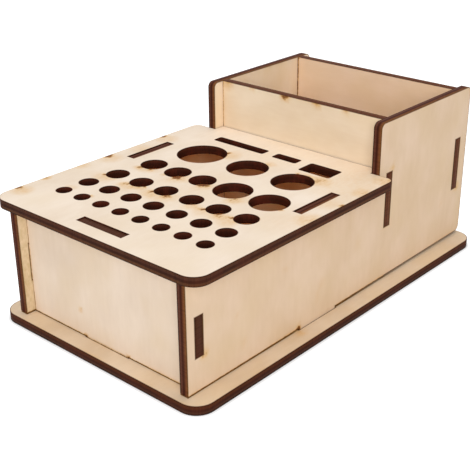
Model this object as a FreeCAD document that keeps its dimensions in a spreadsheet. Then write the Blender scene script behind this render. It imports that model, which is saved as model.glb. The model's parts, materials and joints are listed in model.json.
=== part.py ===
import FreeCAD, Part
import os
import Sketcher

# Tool storage caddy of laser-cut plywood sheets, joined by tabs that fill slots. Millimetres.
# X runs to the right seen from the front, Y to the back and Z up.
# The origin is the middle of the base plate's underside.

# Driving sizes: name, value and what it measures.
SIZES = (
    ("sheet_thickness", 4.8, "plywood that every piece is cut from"),
    ("box_width", 118.5, "over the outer faces of the side walls"),
    ("low_wall_height", 57.4, "side walls and front panel under the tool plate, above the base plate"),
    ("bin_rise", 27.2, "top of the bin above the top of the tool plate"),
    ("bin_depth", 64.3, "inside of the bin, front to back"),
    ("base_side_overhang", 10.25, "base plate past each side wall"),
    ("base_front_overhang", 4.6, "base plate past the front edges of the side walls"),
    ("base_rear_overhang", 0.9, "base plate past the rear edges of the side walls"),
    ("base_corner_radius", 10, "corners of the base plate"),
    ("plate_side_overhang", 9.2, "tool plate past each side wall"),
    ("plate_front_overhang", 2.9, "tool plate past the front edges of the side walls"),
    ("plate_front_radius", 8.5, "front corners of the tool plate"),
    ("plate_rear_radius", 4, "rear corners of the tool plate, outside the bin walls"),
    ("front_panel_setback", 5.5, "front panel behind the front edges of the side walls"),
    ("bin_front_setback", 7.1, "bin front wall behind the front edges of the tall part of the side walls"),
    ("rear_wall_setback", 7.3, "rear wall ahead of the rear edges of the side walls"),
    ("wall_corner_radius", 3.2, "rounded corners of the side walls beside the bin"),
    ("wall_front_gap", 0.5, "gap between the base plate and the front end of a side wall"),
    ("wall_rear_gap", 1.6, "gap between the base plate and the rear end of a side wall"),
    ("panel_foot_gap", 0.35, "gap between the base plate and the panels across the box"),
    ("tab_length", 30, "tabs into the base plate and the tool plate"),
    ("front_side_tab", 20, "height of the front panel's tabs through the side walls"),
    ("front_tab_middle", 27.9, "middle of the front panel's side tabs above the base plate"),
    ("bin_side_tab", 30, "height of the bin walls' tabs through the side walls"),
    ("bin_tab_middle", 45.9, "middle of the bin walls' side tabs above the base plate"),
    ("side_tab_distance", 93, "middle of a side wall's tabs behind its front edge"),
    ("fixed_clearance", 0.1, "gap around a glued tab"),
    ("lift_clearance", 0.12, "gap around the tabs that the tool plate lifts off"),
    ("plate_seam", 0.25, "gap between the tool plate's rear edges and the walls that they meet"),
    ("deck_tab_recess", 0.5, "ends of the tabs in the tool plate below its top"),
    ("first_row_distance", 27.9, "first row of holes behind the tool plate's front edge"),
    ("second_row_step", 15, "second row behind the first"),
    ("third_row_step", 17, "third row behind the second"),
    ("fourth_row_step", 21.7, "fourth row behind the third"),
    ("fifth_row_step", 27.9, "fifth row behind the fourth"),
    ("slot_row_step", 27.15, "rear edges of the tool slots behind the fifth row"),
    ("slot_rear_margin", 15.45, "bin front wall behind the rear edges of the tool slots"),
    ("first_row_margin", 6.55, "middle of the first row's end holes from the side walls' inner faces"),
    ("second_row_margin", 7.7, "the same in the second row"),
    ("third_row_margin", 10.7, "the same in the third row"),
    ("fourth_row_margin", 15, "the same in the fourth row"),
    ("fifth_row_margin", 23.3, "the same in the fifth row"),
    ("slot_row_margin", 12.45, "ends of the slot row from the side walls' inner faces"),
    ("file_hole", 8, "diameter of the first row's holes"),
    ("brush_hole", 10, "diameter of the second row's holes"),
    ("knife_hole", 12, "diameter of the third row's holes"),
    ("handle_hole", 14, "diameter of the fourth row's smaller holes"),
    ("driver_hole", 20, "diameter of the fourth row's larger holes"),
    ("plier_hole", 22, "diameter of the fifth row's smaller holes"),
    ("mallet_hole", 27, "diameter of the fifth row's largest hole"),
    ("rule_slot", 35.4, "length of the long thin slot"),
    ("tweezer_slot", 15.8, "length of the short thin slot"),
    ("cutter_slot", 19.5, "length of the wide slot"),
    ("thin_slot_width", 6.1, "width of the thin slots, front to back"),
    ("wide_slot_width", 11.8, "width of the wide slot, front to back"),
    ("slot_corner_radius", 1.2, "corners of the tool slots"),
)

# Places worked out from the driving sizes, as formulas on the sheet.
SHEET = "Sizes.sheet_thickness"
HALF_BOX = "(Sizes.box_width / 2)"
HALF_INSIDE = f"({HALF_BOX} - {SHEET})"
HALF_TAB = "(Sizes.tab_length / 2)"

PLATE_BOTTOM = f"({SHEET} + Sizes.low_wall_height)"
PLATE_TOP = f"({PLATE_BOTTOM} + {SHEET})"
DECK_TAB_TOP = f"({PLATE_TOP} - Sizes.deck_tab_recess)"
BIN_TOP = f"({PLATE_TOP} + Sizes.bin_rise)"
FRONT_TAB_MIDDLE = f"({SHEET} + Sizes.front_tab_middle)"
BIN_TAB_MIDDLE = f"({SHEET} + Sizes.bin_tab_middle)"

ROW_STEPS = ("first_row_distance", "second_row_step", "third_row_step", "fourth_row_step", "fifth_row_step")
ROW_TOTAL = " + ".join(f"Sizes.{step}" for step in ROW_STEPS)
DECK_LENGTH = f"({ROW_TOTAL} + Sizes.slot_row_step + Sizes.slot_rear_margin - Sizes.plate_front_overhang)"
WALL_LENGTH = f"({DECK_LENGTH} + 2 * {SHEET} + Sizes.bin_depth + Sizes.rear_wall_setback)"
BASE_LENGTH = f"(Sizes.base_front_overhang + {WALL_LENGTH} + Sizes.base_rear_overhang)"

WALL_FRONT = f"(Sizes.base_front_overhang - {BASE_LENGTH} / 2)"
WALL_REAR = f"({WALL_FRONT} + {WALL_LENGTH})"
PLATE_FRONT = f"({WALL_FRONT} - Sizes.plate_front_overhang)"
FRONT_PANEL = f"({WALL_FRONT} + Sizes.front_panel_setback)"
BIN_FRONT_WALL = f"({WALL_FRONT} + {DECK_LENGTH})"
REAR_WALL = f"({BIN_FRONT_WALL} + {SHEET} + Sizes.bin_depth)"
BIN_EDGE = f"({BIN_FRONT_WALL} - Sizes.bin_front_setback)"
SIDE_TAB_MIDDLE = f"({WALL_FRONT} + Sizes.side_tab_distance)"

# Rows of holes from the front: the row's end margin and its holes from left to right.
HOLE_ROWS = (
    ("first_row_margin", ["file_hole"] * 8),
    ("second_row_margin", ["brush_hole"] * 7),
    ("third_row_margin", ["knife_hole"] * 6),
    ("fourth_row_margin", ["handle_hole"] * 3 + ["driver_hole"] * 2),
    ("fifth_row_margin", ["mallet_hole"] + ["plier_hole"] * 2),
)
# Tool slots from left to right: length and width.
TOOL_SLOTS = (
    ("rule_slot", "thin_slot_width"),
    ("tweezer_slot", "thin_slot_width"),
    ("cutter_slot", "wide_slot_width"),
)
CORNER_TOLERANCE = 0.001

doc = FreeCAD.newDocument("tool_storage_caddy")


def make_sheet():
    """Writes the driving sizes to the sheet, with an alias for each."""
    sheet = doc.addObject("Spreadsheet::Sheet", "Sizes")
    for row, (alias, value, meaning) in enumerate(SIZES, 1):
        sheet.set(f"A{row}", alias)
        sheet.set(f"B{row}", str(value))
        sheet.setAlias(f"B{row}", alias)
        sheet.set(f"C{row}", meaning)
    doc.recompute()


def make_body(label):
    """A body for one sheet of plywood."""
    body = doc.addObject("PartDesign::Body", label)
    body.Label = label
    return body


def add_sketch(body, name, plane, height):
    """A sketch on one of the body's origin planes, moved along the plane's normal by a formula."""
    sketch = body.newObject("Sketcher::SketchObject", f"{body.Label}_{name}")
    support = [item for item in body.Origin.OriginFeatures if item.Role == plane][0]
    sketch.AttachmentSupport = [(support, "")]
    sketch.MapMode = "FlatFace"
    sketch.setExpression("AttachmentOffset.Base.z", height)
    return sketch


def bind(sketch, constraint, name, formula):
    """Adds a constraint whose value follows a formula."""
    number = sketch.addConstraint(constraint)
    sketch.renameConstraint(number, name)
    sketch.setExpression(f"Constraints.{name}", formula)


def add_outline(sketch, corners):
    """A closed outline of straight lines through named corners, each an X and a Y formula.

    Returns the corners' names with the number of the line that starts at each.
    """
    first = sketch.GeometryCount
    count = len(corners)
    rough = [FreeCAD.Vector(place, place * place, 0) for place in range(first, first + count)]
    for place in range(count):
        sketch.addGeometry(Part.LineSegment(rough[place], rough[(place + 1) % count]))
    for place in range(count):
        following = first + (place + 1) % count
        sketch.addConstraint(Sketcher.Constraint("Coincident", first + place, 2, following, 1))
    starts = {}
    for place, (name, (across, along)) in enumerate(corners.items()):
        line = first + place
        guess = rough[place]
        bind(sketch, Sketcher.Constraint("DistanceX", -1, 1, line, 1, guess.x), f"{name}_across", across)
        bind(sketch, Sketcher.Constraint("DistanceY", -1, 1, line, 1, guess.y), f"{name}_along", along)
        starts[name] = line
    return starts


def add_rectangle(sketch, name, left, right, low, high):
    """A rectangle between four formulas. Returns its corners as add_outline does."""
    return add_outline(sketch, {
        f"{name}_low_left": (left, low),
        f"{name}_low_right": (right, low),
        f"{name}_high_right": (right, high),
        f"{name}_high_left": (left, high),
    })


def add_circle(sketch, name, across, along, diameter):
    """A circle whose centre and diameter follow formulas."""
    guess = FreeCAD.Vector(sketch.GeometryCount, 1, 0)
    circle = sketch.addGeometry(Part.Circle(guess, FreeCAD.Vector(0, 0, 1), 1))
    bind(sketch, Sketcher.Constraint("DistanceX", -1, 1, circle, 3, guess.x), f"{name}_across", across)
    bind(sketch, Sketcher.Constraint("DistanceY", -1, 1, circle, 3, guess.y), f"{name}_along", along)
    bind(sketch, Sketcher.Constraint("Diameter", circle, 2), f"{name}_diameter", diameter)


def pad(body, sketch):
    """Thickens a sketch by one sheet, along its normal."""
    feature = body.newObject("PartDesign::Pad", f"{sketch.Name}_pad")
    feature.Profile = sketch
    feature.Refine = True
    feature.setExpression("Length", SHEET)
    doc.recompute()
    return feature


def cut_through(body, sketch):
    """Cuts a sketch through the sheet that stands on it, and checks that it removed something."""
    before = body.Shape.Volume
    feature = body.newObject("PartDesign::Pocket", f"{sketch.Name}_cut")
    feature.Profile = sketch
    feature.Type = "ThroughAll"
    feature.Reversed = True
    doc.recompute()
    if not body.Shape.Volume < before:
        raise RuntimeError(f"{feature.Name} cuts nothing")
    return feature


def round_corners(body, feature, sketch, starts, names, radius):
    """Rounds the edges that stand on some corners of a sketch's outline."""
    normal = sketch.Placement.Rotation.multVec(FreeCAD.Vector(0, 0, 1))
    points = [sketch.Placement.multVec(sketch.getPoint(starts[name], 1)) for name in names]
    edges = []
    for number, edge in enumerate(feature.Shape.Edges, 1):
        if edge.tangentAt(edge.FirstParameter).cross(normal).Length > CORNER_TOLERANCE:
            continue
        if any(edge.distToShape(Part.Vertex(point))[0] < CORNER_TOLERANCE for point in points):
            edges.append(f"Edge{number}")
    if len(edges) != len(names):
        raise RuntimeError(f"{body.Label}: {len(edges)} edges found for {len(names)} corners")
    rounding = body.newObject("PartDesign::Fillet", f"{feature.Name}_{radius}")
    rounding.Base = (feature, edges)
    rounding.setExpression("Radius", f"Sizes.{radius}")
    doc.recompute()
    return rounding


def around(middle, half, clearance=""):
    """The two formulas on either side of a middle, each moved out by a named clearance."""
    reach = f"({half} + Sizes.{clearance})" if clearance else half
    return f"{middle} - {reach}", f"{middle} + {reach}"


def sheet_slot(face, clearance):
    """The two formulas of a slot for a sheet whose near face is at a formula."""
    return f"{face} - Sizes.{clearance}", f"{face} + {SHEET} + Sizes.{clearance}"


def even_row(lengths, reach):
    """Middles of a row of items with equal gaps, whose end items have their middles at plus and minus reach."""
    halves = [f"Sizes.{length} / 2" for length in lengths]
    inner = " + ".join(f"Sizes.{length}" for length in lengths[1:-1]) or "0"
    gap = f"((2 * {reach} - {halves[0]} - {halves[-1]} - ({inner})) / {len(lengths) - 1})"
    middles = [f"-{reach}"]
    for left, right in zip(halves, halves[1:]):
        middles.append(f"{middles[-1]} + {left} + {gap} + {right}")
    return middles


def base_plate():
    """The floor: a rounded sheet with a slot for the tab of each wall that stands on it."""
    body = make_body("base_plate")
    sketch = add_sketch(body, "outline", "XY_Plane", "0")
    side = f"({HALF_BOX} + Sizes.base_side_overhang)"
    half_length = f"({BASE_LENGTH} / 2)"
    corners = add_rectangle(sketch, "base", f"-{side}", side, f"-{half_length}", half_length)
    feature = pad(body, sketch)
    round_corners(body, feature, sketch, corners, list(corners), "base_corner_radius")

    slots = add_sketch(body, "slots", "XY_Plane", "0")
    tab_ends = around("0", HALF_TAB, "fixed_clearance")
    for name, face in (("front", FRONT_PANEL), ("bin", BIN_FRONT_WALL), ("rear", REAR_WALL)):
        add_rectangle(slots, name, *tab_ends, *sheet_slot(face, "fixed_clearance"))
    wall_tab_ends = around(SIDE_TAB_MIDDLE, HALF_TAB, "fixed_clearance")
    for name, face in (("left", f"-{HALF_BOX}"), ("right", HALF_INSIDE)):
        add_rectangle(slots, name, *sheet_slot(face, "fixed_clearance"), *wall_tab_ends)
    cut_through(body, slots)
    return body


def side_wall(label, inner_face):
    """A side wall: low beside the tool rows and tall beside the bin, with a tab at its top and its bottom."""
    body = make_body(label)
    sketch = add_sketch(body, "outline", "YZ_Plane", inner_face)
    corners = add_outline(sketch, {
        "front_bottom": (WALL_FRONT, f"{SHEET} + Sizes.wall_front_gap"),
        "rear_bottom": (WALL_REAR, f"{SHEET} + Sizes.wall_rear_gap"),
        "rear_top": (WALL_REAR, BIN_TOP),
        "bin_top": (BIN_EDGE, BIN_TOP),
        "deck_rear": (BIN_EDGE, PLATE_BOTTOM),
        "deck_front": (WALL_FRONT, PLATE_BOTTOM),
    })
    feature = pad(body, sketch)
    rounded = ["rear_bottom", "rear_top", "bin_top"]
    round_corners(body, feature, sketch, corners, rounded, "wall_corner_radius")

    tabs = add_sketch(body, "tabs", "YZ_Plane", inner_face)
    add_rectangle(tabs, "tab", *around(SIDE_TAB_MIDDLE, HALF_TAB), "0", DECK_TAB_TOP)
    pad(body, tabs)

    slots = add_sketch(body, "slots", "YZ_Plane", inner_face)
    for name, face, middle, height in (
        ("front", FRONT_PANEL, FRONT_TAB_MIDDLE, "front_side_tab"),
        ("bin", BIN_FRONT_WALL, BIN_TAB_MIDDLE, "bin_side_tab"),
        ("rear", REAR_WALL, BIN_TAB_MIDDLE, "bin_side_tab"),
    ):
        tab_ends = around(middle, f"Sizes.{height} / 2", "fixed_clearance")
        add_rectangle(slots, name, *sheet_slot(face, "fixed_clearance"), *tab_ends)
    cut_through(body, slots)
    return body


def cross_panel(label, face, top, tab_middle, tab_height, tab_top):
    """A panel between the side walls, with a tab through each of them and tabs at its middle."""
    body = make_body(label)
    back = f"-({face} + {SHEET})"
    foot = f"{SHEET} + Sizes.panel_foot_gap"
    sketch = add_sketch(body, "outline", "XZ_Plane", back)
    add_rectangle(sketch, "panel", f"-{HALF_INSIDE}", HALF_INSIDE, foot, top)
    pad(body, sketch)

    side_tabs = add_sketch(body, "side_tabs", "XZ_Plane", back)
    tab_ends = around(tab_middle, f"Sizes.{tab_height} / 2")
    add_rectangle(side_tabs, "side_tab", f"-{HALF_BOX}", HALF_BOX, *tab_ends)
    pad(body, side_tabs)

    middle_tabs = add_sketch(body, "middle_tabs", "XZ_Plane", back)
    add_rectangle(middle_tabs, "middle_tab", *around("0", HALF_TAB), "0", tab_top)
    pad(body, middle_tabs)
    return body


def tool_plate():
    """The deck: rows of round holes, a row of slots, and a slot over each tab that holds it in place."""
    body = make_body("tool_plate")
    sketch = add_sketch(body, "outline", "XY_Plane", PLATE_BOTTOM)
    side = f"({HALF_BOX} + Sizes.plate_side_overhang)"
    ear_rear = f"{BIN_EDGE} - Sizes.plate_seam"
    tongue_side = f"({HALF_INSIDE} - Sizes.plate_seam)"
    tongue_rear = f"{BIN_FRONT_WALL} - Sizes.plate_seam"
    corners = add_outline(sketch, {
        "front_left": (f"-{side}", PLATE_FRONT),
        "front_right": (side, PLATE_FRONT),
        "ear_right": (side, ear_rear),
        "notch_right": (tongue_side, ear_rear),
        "tongue_right": (tongue_side, tongue_rear),
        "tongue_left": (f"-{tongue_side}", tongue_rear),
        "notch_left": (f"-{tongue_side}", ear_rear),
        "ear_left": (f"-{side}", ear_rear),
    })
    feature = pad(body, sketch)
    feature = round_corners(body, feature, sketch, corners, ["front_left", "front_right"], "plate_front_radius")
    round_corners(body, feature, sketch, corners, ["ear_left", "ear_right"], "plate_rear_radius")

    tab_slots = add_sketch(body, "tab_slots", "XY_Plane", PLATE_BOTTOM)
    wall_tab_ends = around(SIDE_TAB_MIDDLE, HALF_TAB, "lift_clearance")
    for name, face in (("left", f"-{HALF_BOX}"), ("right", HALF_INSIDE)):
        add_rectangle(tab_slots, name, *sheet_slot(face, "lift_clearance"), *wall_tab_ends)
    front_tab_ends = around("0", HALF_TAB, "lift_clearance")
    add_rectangle(tab_slots, "front", *front_tab_ends, *sheet_slot(FRONT_PANEL, "lift_clearance"))
    cut_through(body, tab_slots)

    row_place = PLATE_FRONT
    for step, (margin, holes) in zip(ROW_STEPS, HOLE_ROWS):
        row_place = f"{row_place} + Sizes.{step}"
        row = add_sketch(body, step.split("_")[0] + "_row", "XY_Plane", PLATE_BOTTOM)
        middles = even_row(holes, f"({HALF_INSIDE} - Sizes.{margin})")
        for number, (hole, middle) in enumerate(zip(holes, middles), 1):
            add_circle(row, f"hole_{number}", middle, row_place, f"Sizes.{hole}")
        cut_through(body, row)

    slot_rear = f"{row_place} + Sizes.slot_row_step"
    lengths = [f"Sizes.{length}" for length, width in TOOL_SLOTS]
    row_half = f"({HALF_INSIDE} - Sizes.slot_row_margin)"
    gap = f"((2 * {row_half} - {' - '.join(lengths)}) / {len(lengths) - 1})"
    slots = add_sketch(body, "tool_slots", "XY_Plane", PLATE_BOTTOM)
    slot_corners = {}
    left = f"-{row_half}"
    for length, width in TOOL_SLOTS:
        right = f"{left} + Sizes.{length}"
        slot_front = f"{slot_rear} - Sizes.{width}"
        slot_corners.update(add_rectangle(slots, length, left, right, slot_front, slot_rear))
        left = f"{right} + {gap}"
    feature = cut_through(body, slots)
    round_corners(body, feature, slots, slot_corners, list(slot_corners), "slot_corner_radius")
    return body


def check_document():
    """Stops if any object of the document failed to build."""
    for item in doc.Objects:
        if {"Invalid", "Error"} & set(item.State):
            raise RuntimeError(f"{item.Name} did not build: {item.State}")


def write_piece(body):
    """Writes one piece's solid to its own file."""
    shape = body.Shape
    if shape.isNull() or not shape.isValid() or len(shape.Solids) != 1:
        raise RuntimeError(f"{body.Label} is not one valid solid")
    shape.exportStep(os.path.join("parts", f"{body.Label}.step"))
    box = shape.BoundBox
    print(f"{body.Label}: {shape.Volume / 1000:.2f} cm3,"
          f" {box.XLength:.2f} x {box.YLength:.2f} x {box.ZLength:.2f} mm")


make_sheet()
pieces = [
    base_plate(),
    side_wall("left_side_wall", f"-{HALF_BOX}"),
    side_wall("right_side_wall", HALF_INSIDE),
    cross_panel("front_panel", FRONT_PANEL, PLATE_BOTTOM, FRONT_TAB_MIDDLE, "front_side_tab", DECK_TAB_TOP),
    cross_panel("bin_front_wall", BIN_FRONT_WALL, BIN_TOP, BIN_TAB_MIDDLE, "bin_side_tab", BIN_TOP),
    cross_panel("rear_wall", REAR_WALL, BIN_TOP, BIN_TAB_MIDDLE, "bin_side_tab", BIN_TOP),
    tool_plate(),
]
doc.recompute()
check_document()
os.makedirs("parts", exist_ok=True)
for piece in pieces:
    write_piece(piece)
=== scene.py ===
"""Looks of a laser-cut plywood tool caddy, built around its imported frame.

Metres, with +X to the right seen from the front, +Y to the back and +Z up.
"""

import json
import logging
import math
from dataclasses import dataclass
from enum import Enum, IntEnum
from functools import cache

import bmesh
import bpy
from mathutils import Matrix, Vector


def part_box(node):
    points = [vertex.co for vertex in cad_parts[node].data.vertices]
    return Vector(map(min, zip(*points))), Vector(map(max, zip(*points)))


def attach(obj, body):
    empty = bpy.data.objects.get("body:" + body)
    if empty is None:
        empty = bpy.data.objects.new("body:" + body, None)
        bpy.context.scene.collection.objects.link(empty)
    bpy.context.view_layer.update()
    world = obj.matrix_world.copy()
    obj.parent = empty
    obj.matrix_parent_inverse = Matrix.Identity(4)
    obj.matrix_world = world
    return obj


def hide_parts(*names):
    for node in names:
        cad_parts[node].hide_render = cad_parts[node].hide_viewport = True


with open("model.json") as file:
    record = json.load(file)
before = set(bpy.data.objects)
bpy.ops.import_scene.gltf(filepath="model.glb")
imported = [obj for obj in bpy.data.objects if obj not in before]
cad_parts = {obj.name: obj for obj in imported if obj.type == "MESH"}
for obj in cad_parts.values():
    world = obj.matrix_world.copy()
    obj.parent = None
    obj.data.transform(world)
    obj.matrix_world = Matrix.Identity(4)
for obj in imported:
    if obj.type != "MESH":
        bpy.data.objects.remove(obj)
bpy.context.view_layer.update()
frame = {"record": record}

LOG = logging.getLogger("tool_caddy")
MM = 0.001
FULL_TURN = 360.0
WHITE = "#FFFFFF"
# The sRGB curve: its highest level, a straight foot up to its knee, and a power above it.
SRGB_TOP = 255
SRGB_KNEE = 0.04045
SRGB_SLOPE = 12.92
SRGB_OFFSET = 0.055
SRGB_POWER = 2.4

# Point attributes that the sheets carry and their finishes read.
CUT_DISTANCE = "cut_distance"
SCORCH = "scorch"
PLY_DEPTH = "ply_depth"
INNER_CUT = "inner_cut"
# Edge attribute that marks the lines left by filling a face.
FILL_LINE = "fill_line"
# What the numbers of a finish's range say in turn: the two ends it is read between, then what they give.
RANGE = ("From Min", "From Max", "To Min", "To Max")
# Where a mix of colours takes its two colours and gives its result.
MIX_FIRST, MIX_SECOND, MIX_RESULT = 6, 7, 2


def linear(colour: str) -> tuple[float, float, float, float]:
    """Turns an sRGB hex colour into linear light.

    Args:
        colour: six hex digits after a hash sign.

    Returns:
        Red, green and blue in linear light, and full alpha.
    """
    channels = [level / SRGB_TOP for level in bytes.fromhex(colour[1:])]
    red, green, blue = [channel / SRGB_SLOPE if channel <= SRGB_KNEE
                        else ((channel + SRGB_OFFSET) / (1 + SRGB_OFFSET)) ** SRGB_POWER
                        for channel in channels]
    return red, green, blue, 1.0


def add_node(tree: bpy.types.NodeTree, kind: str, settings: dict | None = None,
             links: dict | None = None) -> bpy.types.Node:
    """Adds a node with its settings and the links that feed it.

    Args:
        tree: the node tree that takes the node.
        kind: the node's type.
        settings: values by the name of a property, or by the name or number of an input.
        links: output sockets by the name or number of the input that they feed.

    Returns:
        The new node.
    """
    node = tree.nodes.new(kind)
    for key, value in (settings or {}).items():
        if isinstance(key, str) and hasattr(node, key):
            setattr(node, key, value)
        else:
            node.inputs[key].default_value = value
    for key, socket in (links or {}).items():
        tree.links.new(socket, node.inputs[key])
    return node


@cache
def span(node: str, axis: str) -> tuple[float, float]:
    """A CAD node's lowest and highest place along x, y or z."""
    low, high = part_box(node)
    return getattr(low, axis), getattr(high, axis)


def unit(axis: str) -> Vector:
    """The direction along x, y or z."""
    return Vector([float(axis == name) for name in "xyz"])


class Lie(Enum):
    """How a sheet lies: the row-frame axes of its length, its height and its thickness."""

    FLAT = ("x", "y", "z")
    SIDEWAYS = ("y", "z", "x")
    CROSSWAYS = ("x", "z", "y")

    @property
    def through(self) -> Vector:
        """The direction through the sheet."""
        return unit(self.value[2])

    def standing(self, near: float) -> Matrix:
        """Gives the move that stands a flat sheet in its place.

        Args:
            near: where the sheet's lower face lies on its thickness axis.

        Returns:
            The matrix from the sheet's own length, height and thickness to the row frame.
        """
        matrix = Matrix([unit(axis) for axis in self.value]).transposed().to_4x4()
        matrix.translation = self.through * near
        return matrix


class Grain(Enum):
    """Which way a veneer's grain runs, as the turn that lays it along X."""

    ALONG_X = (0.0, 0.0, 0.0)
    ALONG_Y = (0.0, 0.0, -math.pi / 2)
    ALONG_Z = (0.0, math.pi / 2, 0.0)


class Surface(IntEnum):
    """The surfaces of a sheet, in the order of its materials."""

    FACE = 0
    OUTER_EDGE = 1
    INNER_EDGE = 2


@dataclass(frozen=True)
class Corner:
    """A corner of a cut: its place along and up the sheet, and the radius that rounds it."""

    along: float
    up: float
    radius: float = 0.0


@dataclass(frozen=True)
class RoundHole:
    """A round hole: its name, its middle on the sheet and its radius."""

    name: str
    along: float
    up: float
    radius: float


@dataclass(frozen=True)
class Smear:
    """A brown smear where the beam lingered: its middle on the sheet, its reach and its strength.

    Its lengths are in millimetres. A stretch above one draws it out up the sheet. One that doesn't
    go through marks the upper face alone.
    """

    along: float
    up: float
    reach: float
    strength: float
    stretch: float = 1.0
    through: bool = True

    def at(self, point: Vector) -> float:
        """Gives how strong the smear is.

        Args:
            point: a point of the flat sheet, whose height is its share of the sheet's thickness.

        Returns:
            The strength there, none beyond the smear's reach.
        """
        along = point.x / MM - self.along
        up = (point.y / MM - self.up) / self.stretch
        outward = math.hypot(along, up) / self.reach
        shown = 1.0 if self.through else point.z
        return self.strength * shown * max(0.0, 1.0 - outward ** 2)


@dataclass(frozen=True)
class RimSmear:
    """A smear that hugs a hole's rim: the way it lies from the hole in degrees, and how far round.

    Its reach is in millimetres.
    """

    hole: RoundHole
    bearing: float
    half_arc: float
    reach: float
    strength: float

    def at(self, point: Vector) -> float:
        """Gives how strong the smear is.

        Args:
            point: a point of the flat sheet.

        Returns:
            The strength there, none beyond the smear's reach or arc.
        """
        away = Vector((point.x - self.hole.along, point.y - self.hole.up))
        turn = math.degrees(math.atan2(away.y, away.x)) - self.bearing
        round_rim = abs(math.remainder(turn, FULL_TURN)) / self.half_arc
        outward = max(0.0, away.length - self.hole.radius) / (self.reach * MM)
        return self.strength * max(0.0, 1.0 - outward ** 2) * max(0.0, 1.0 - round_rim ** 2)


def rectangle(along: tuple[float, float], up: tuple[float, float], radius: float = 0.0) -> list[Corner]:
    """Gives the corners of a rectangular cut.

    Args:
        along: its two ends along the sheet.
        up: its two ends up the sheet.
        radius: what rounds its corners.

    Returns:
        Its four corners in order.
    """
    (left, right), (low, high) = along, up
    return [Corner(left, low, radius), Corner(right, low, radius),
            Corner(right, high, radius), Corner(left, high, radius)]


def widened(ends: tuple[float, float], room: float) -> tuple[float, float]:
    """Two ends moved apart by some room on each side."""
    return ends[0] - room, ends[1] + room


@dataclass(frozen=True)
class SideTab:
    """A cross panel's tabs through the side walls: their middle above the base plate, and their height."""

    middle: float
    height: float

    def ends(self) -> tuple[float, float]:
        """The tab's lower and upper ends."""
        middle = span("base_plate", "z")[1] + self.middle
        return middle - self.height / 2, middle + self.height / 2


SIDE_TABS = {
    "front_panel": SideTab(middle=27.9 * MM, height=20 * MM),
    "bin_front_wall": SideTab(middle=45.9 * MM, height=30 * MM),
    "rear_wall": SideTab(middle=45.9 * MM, height=30 * MM),
}


@dataclass(frozen=True)
class Pattern:
    """A pattern in the wood: its size along and across the grain, and how many finer layers it has."""

    length: float
    width: float
    detail: float


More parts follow.
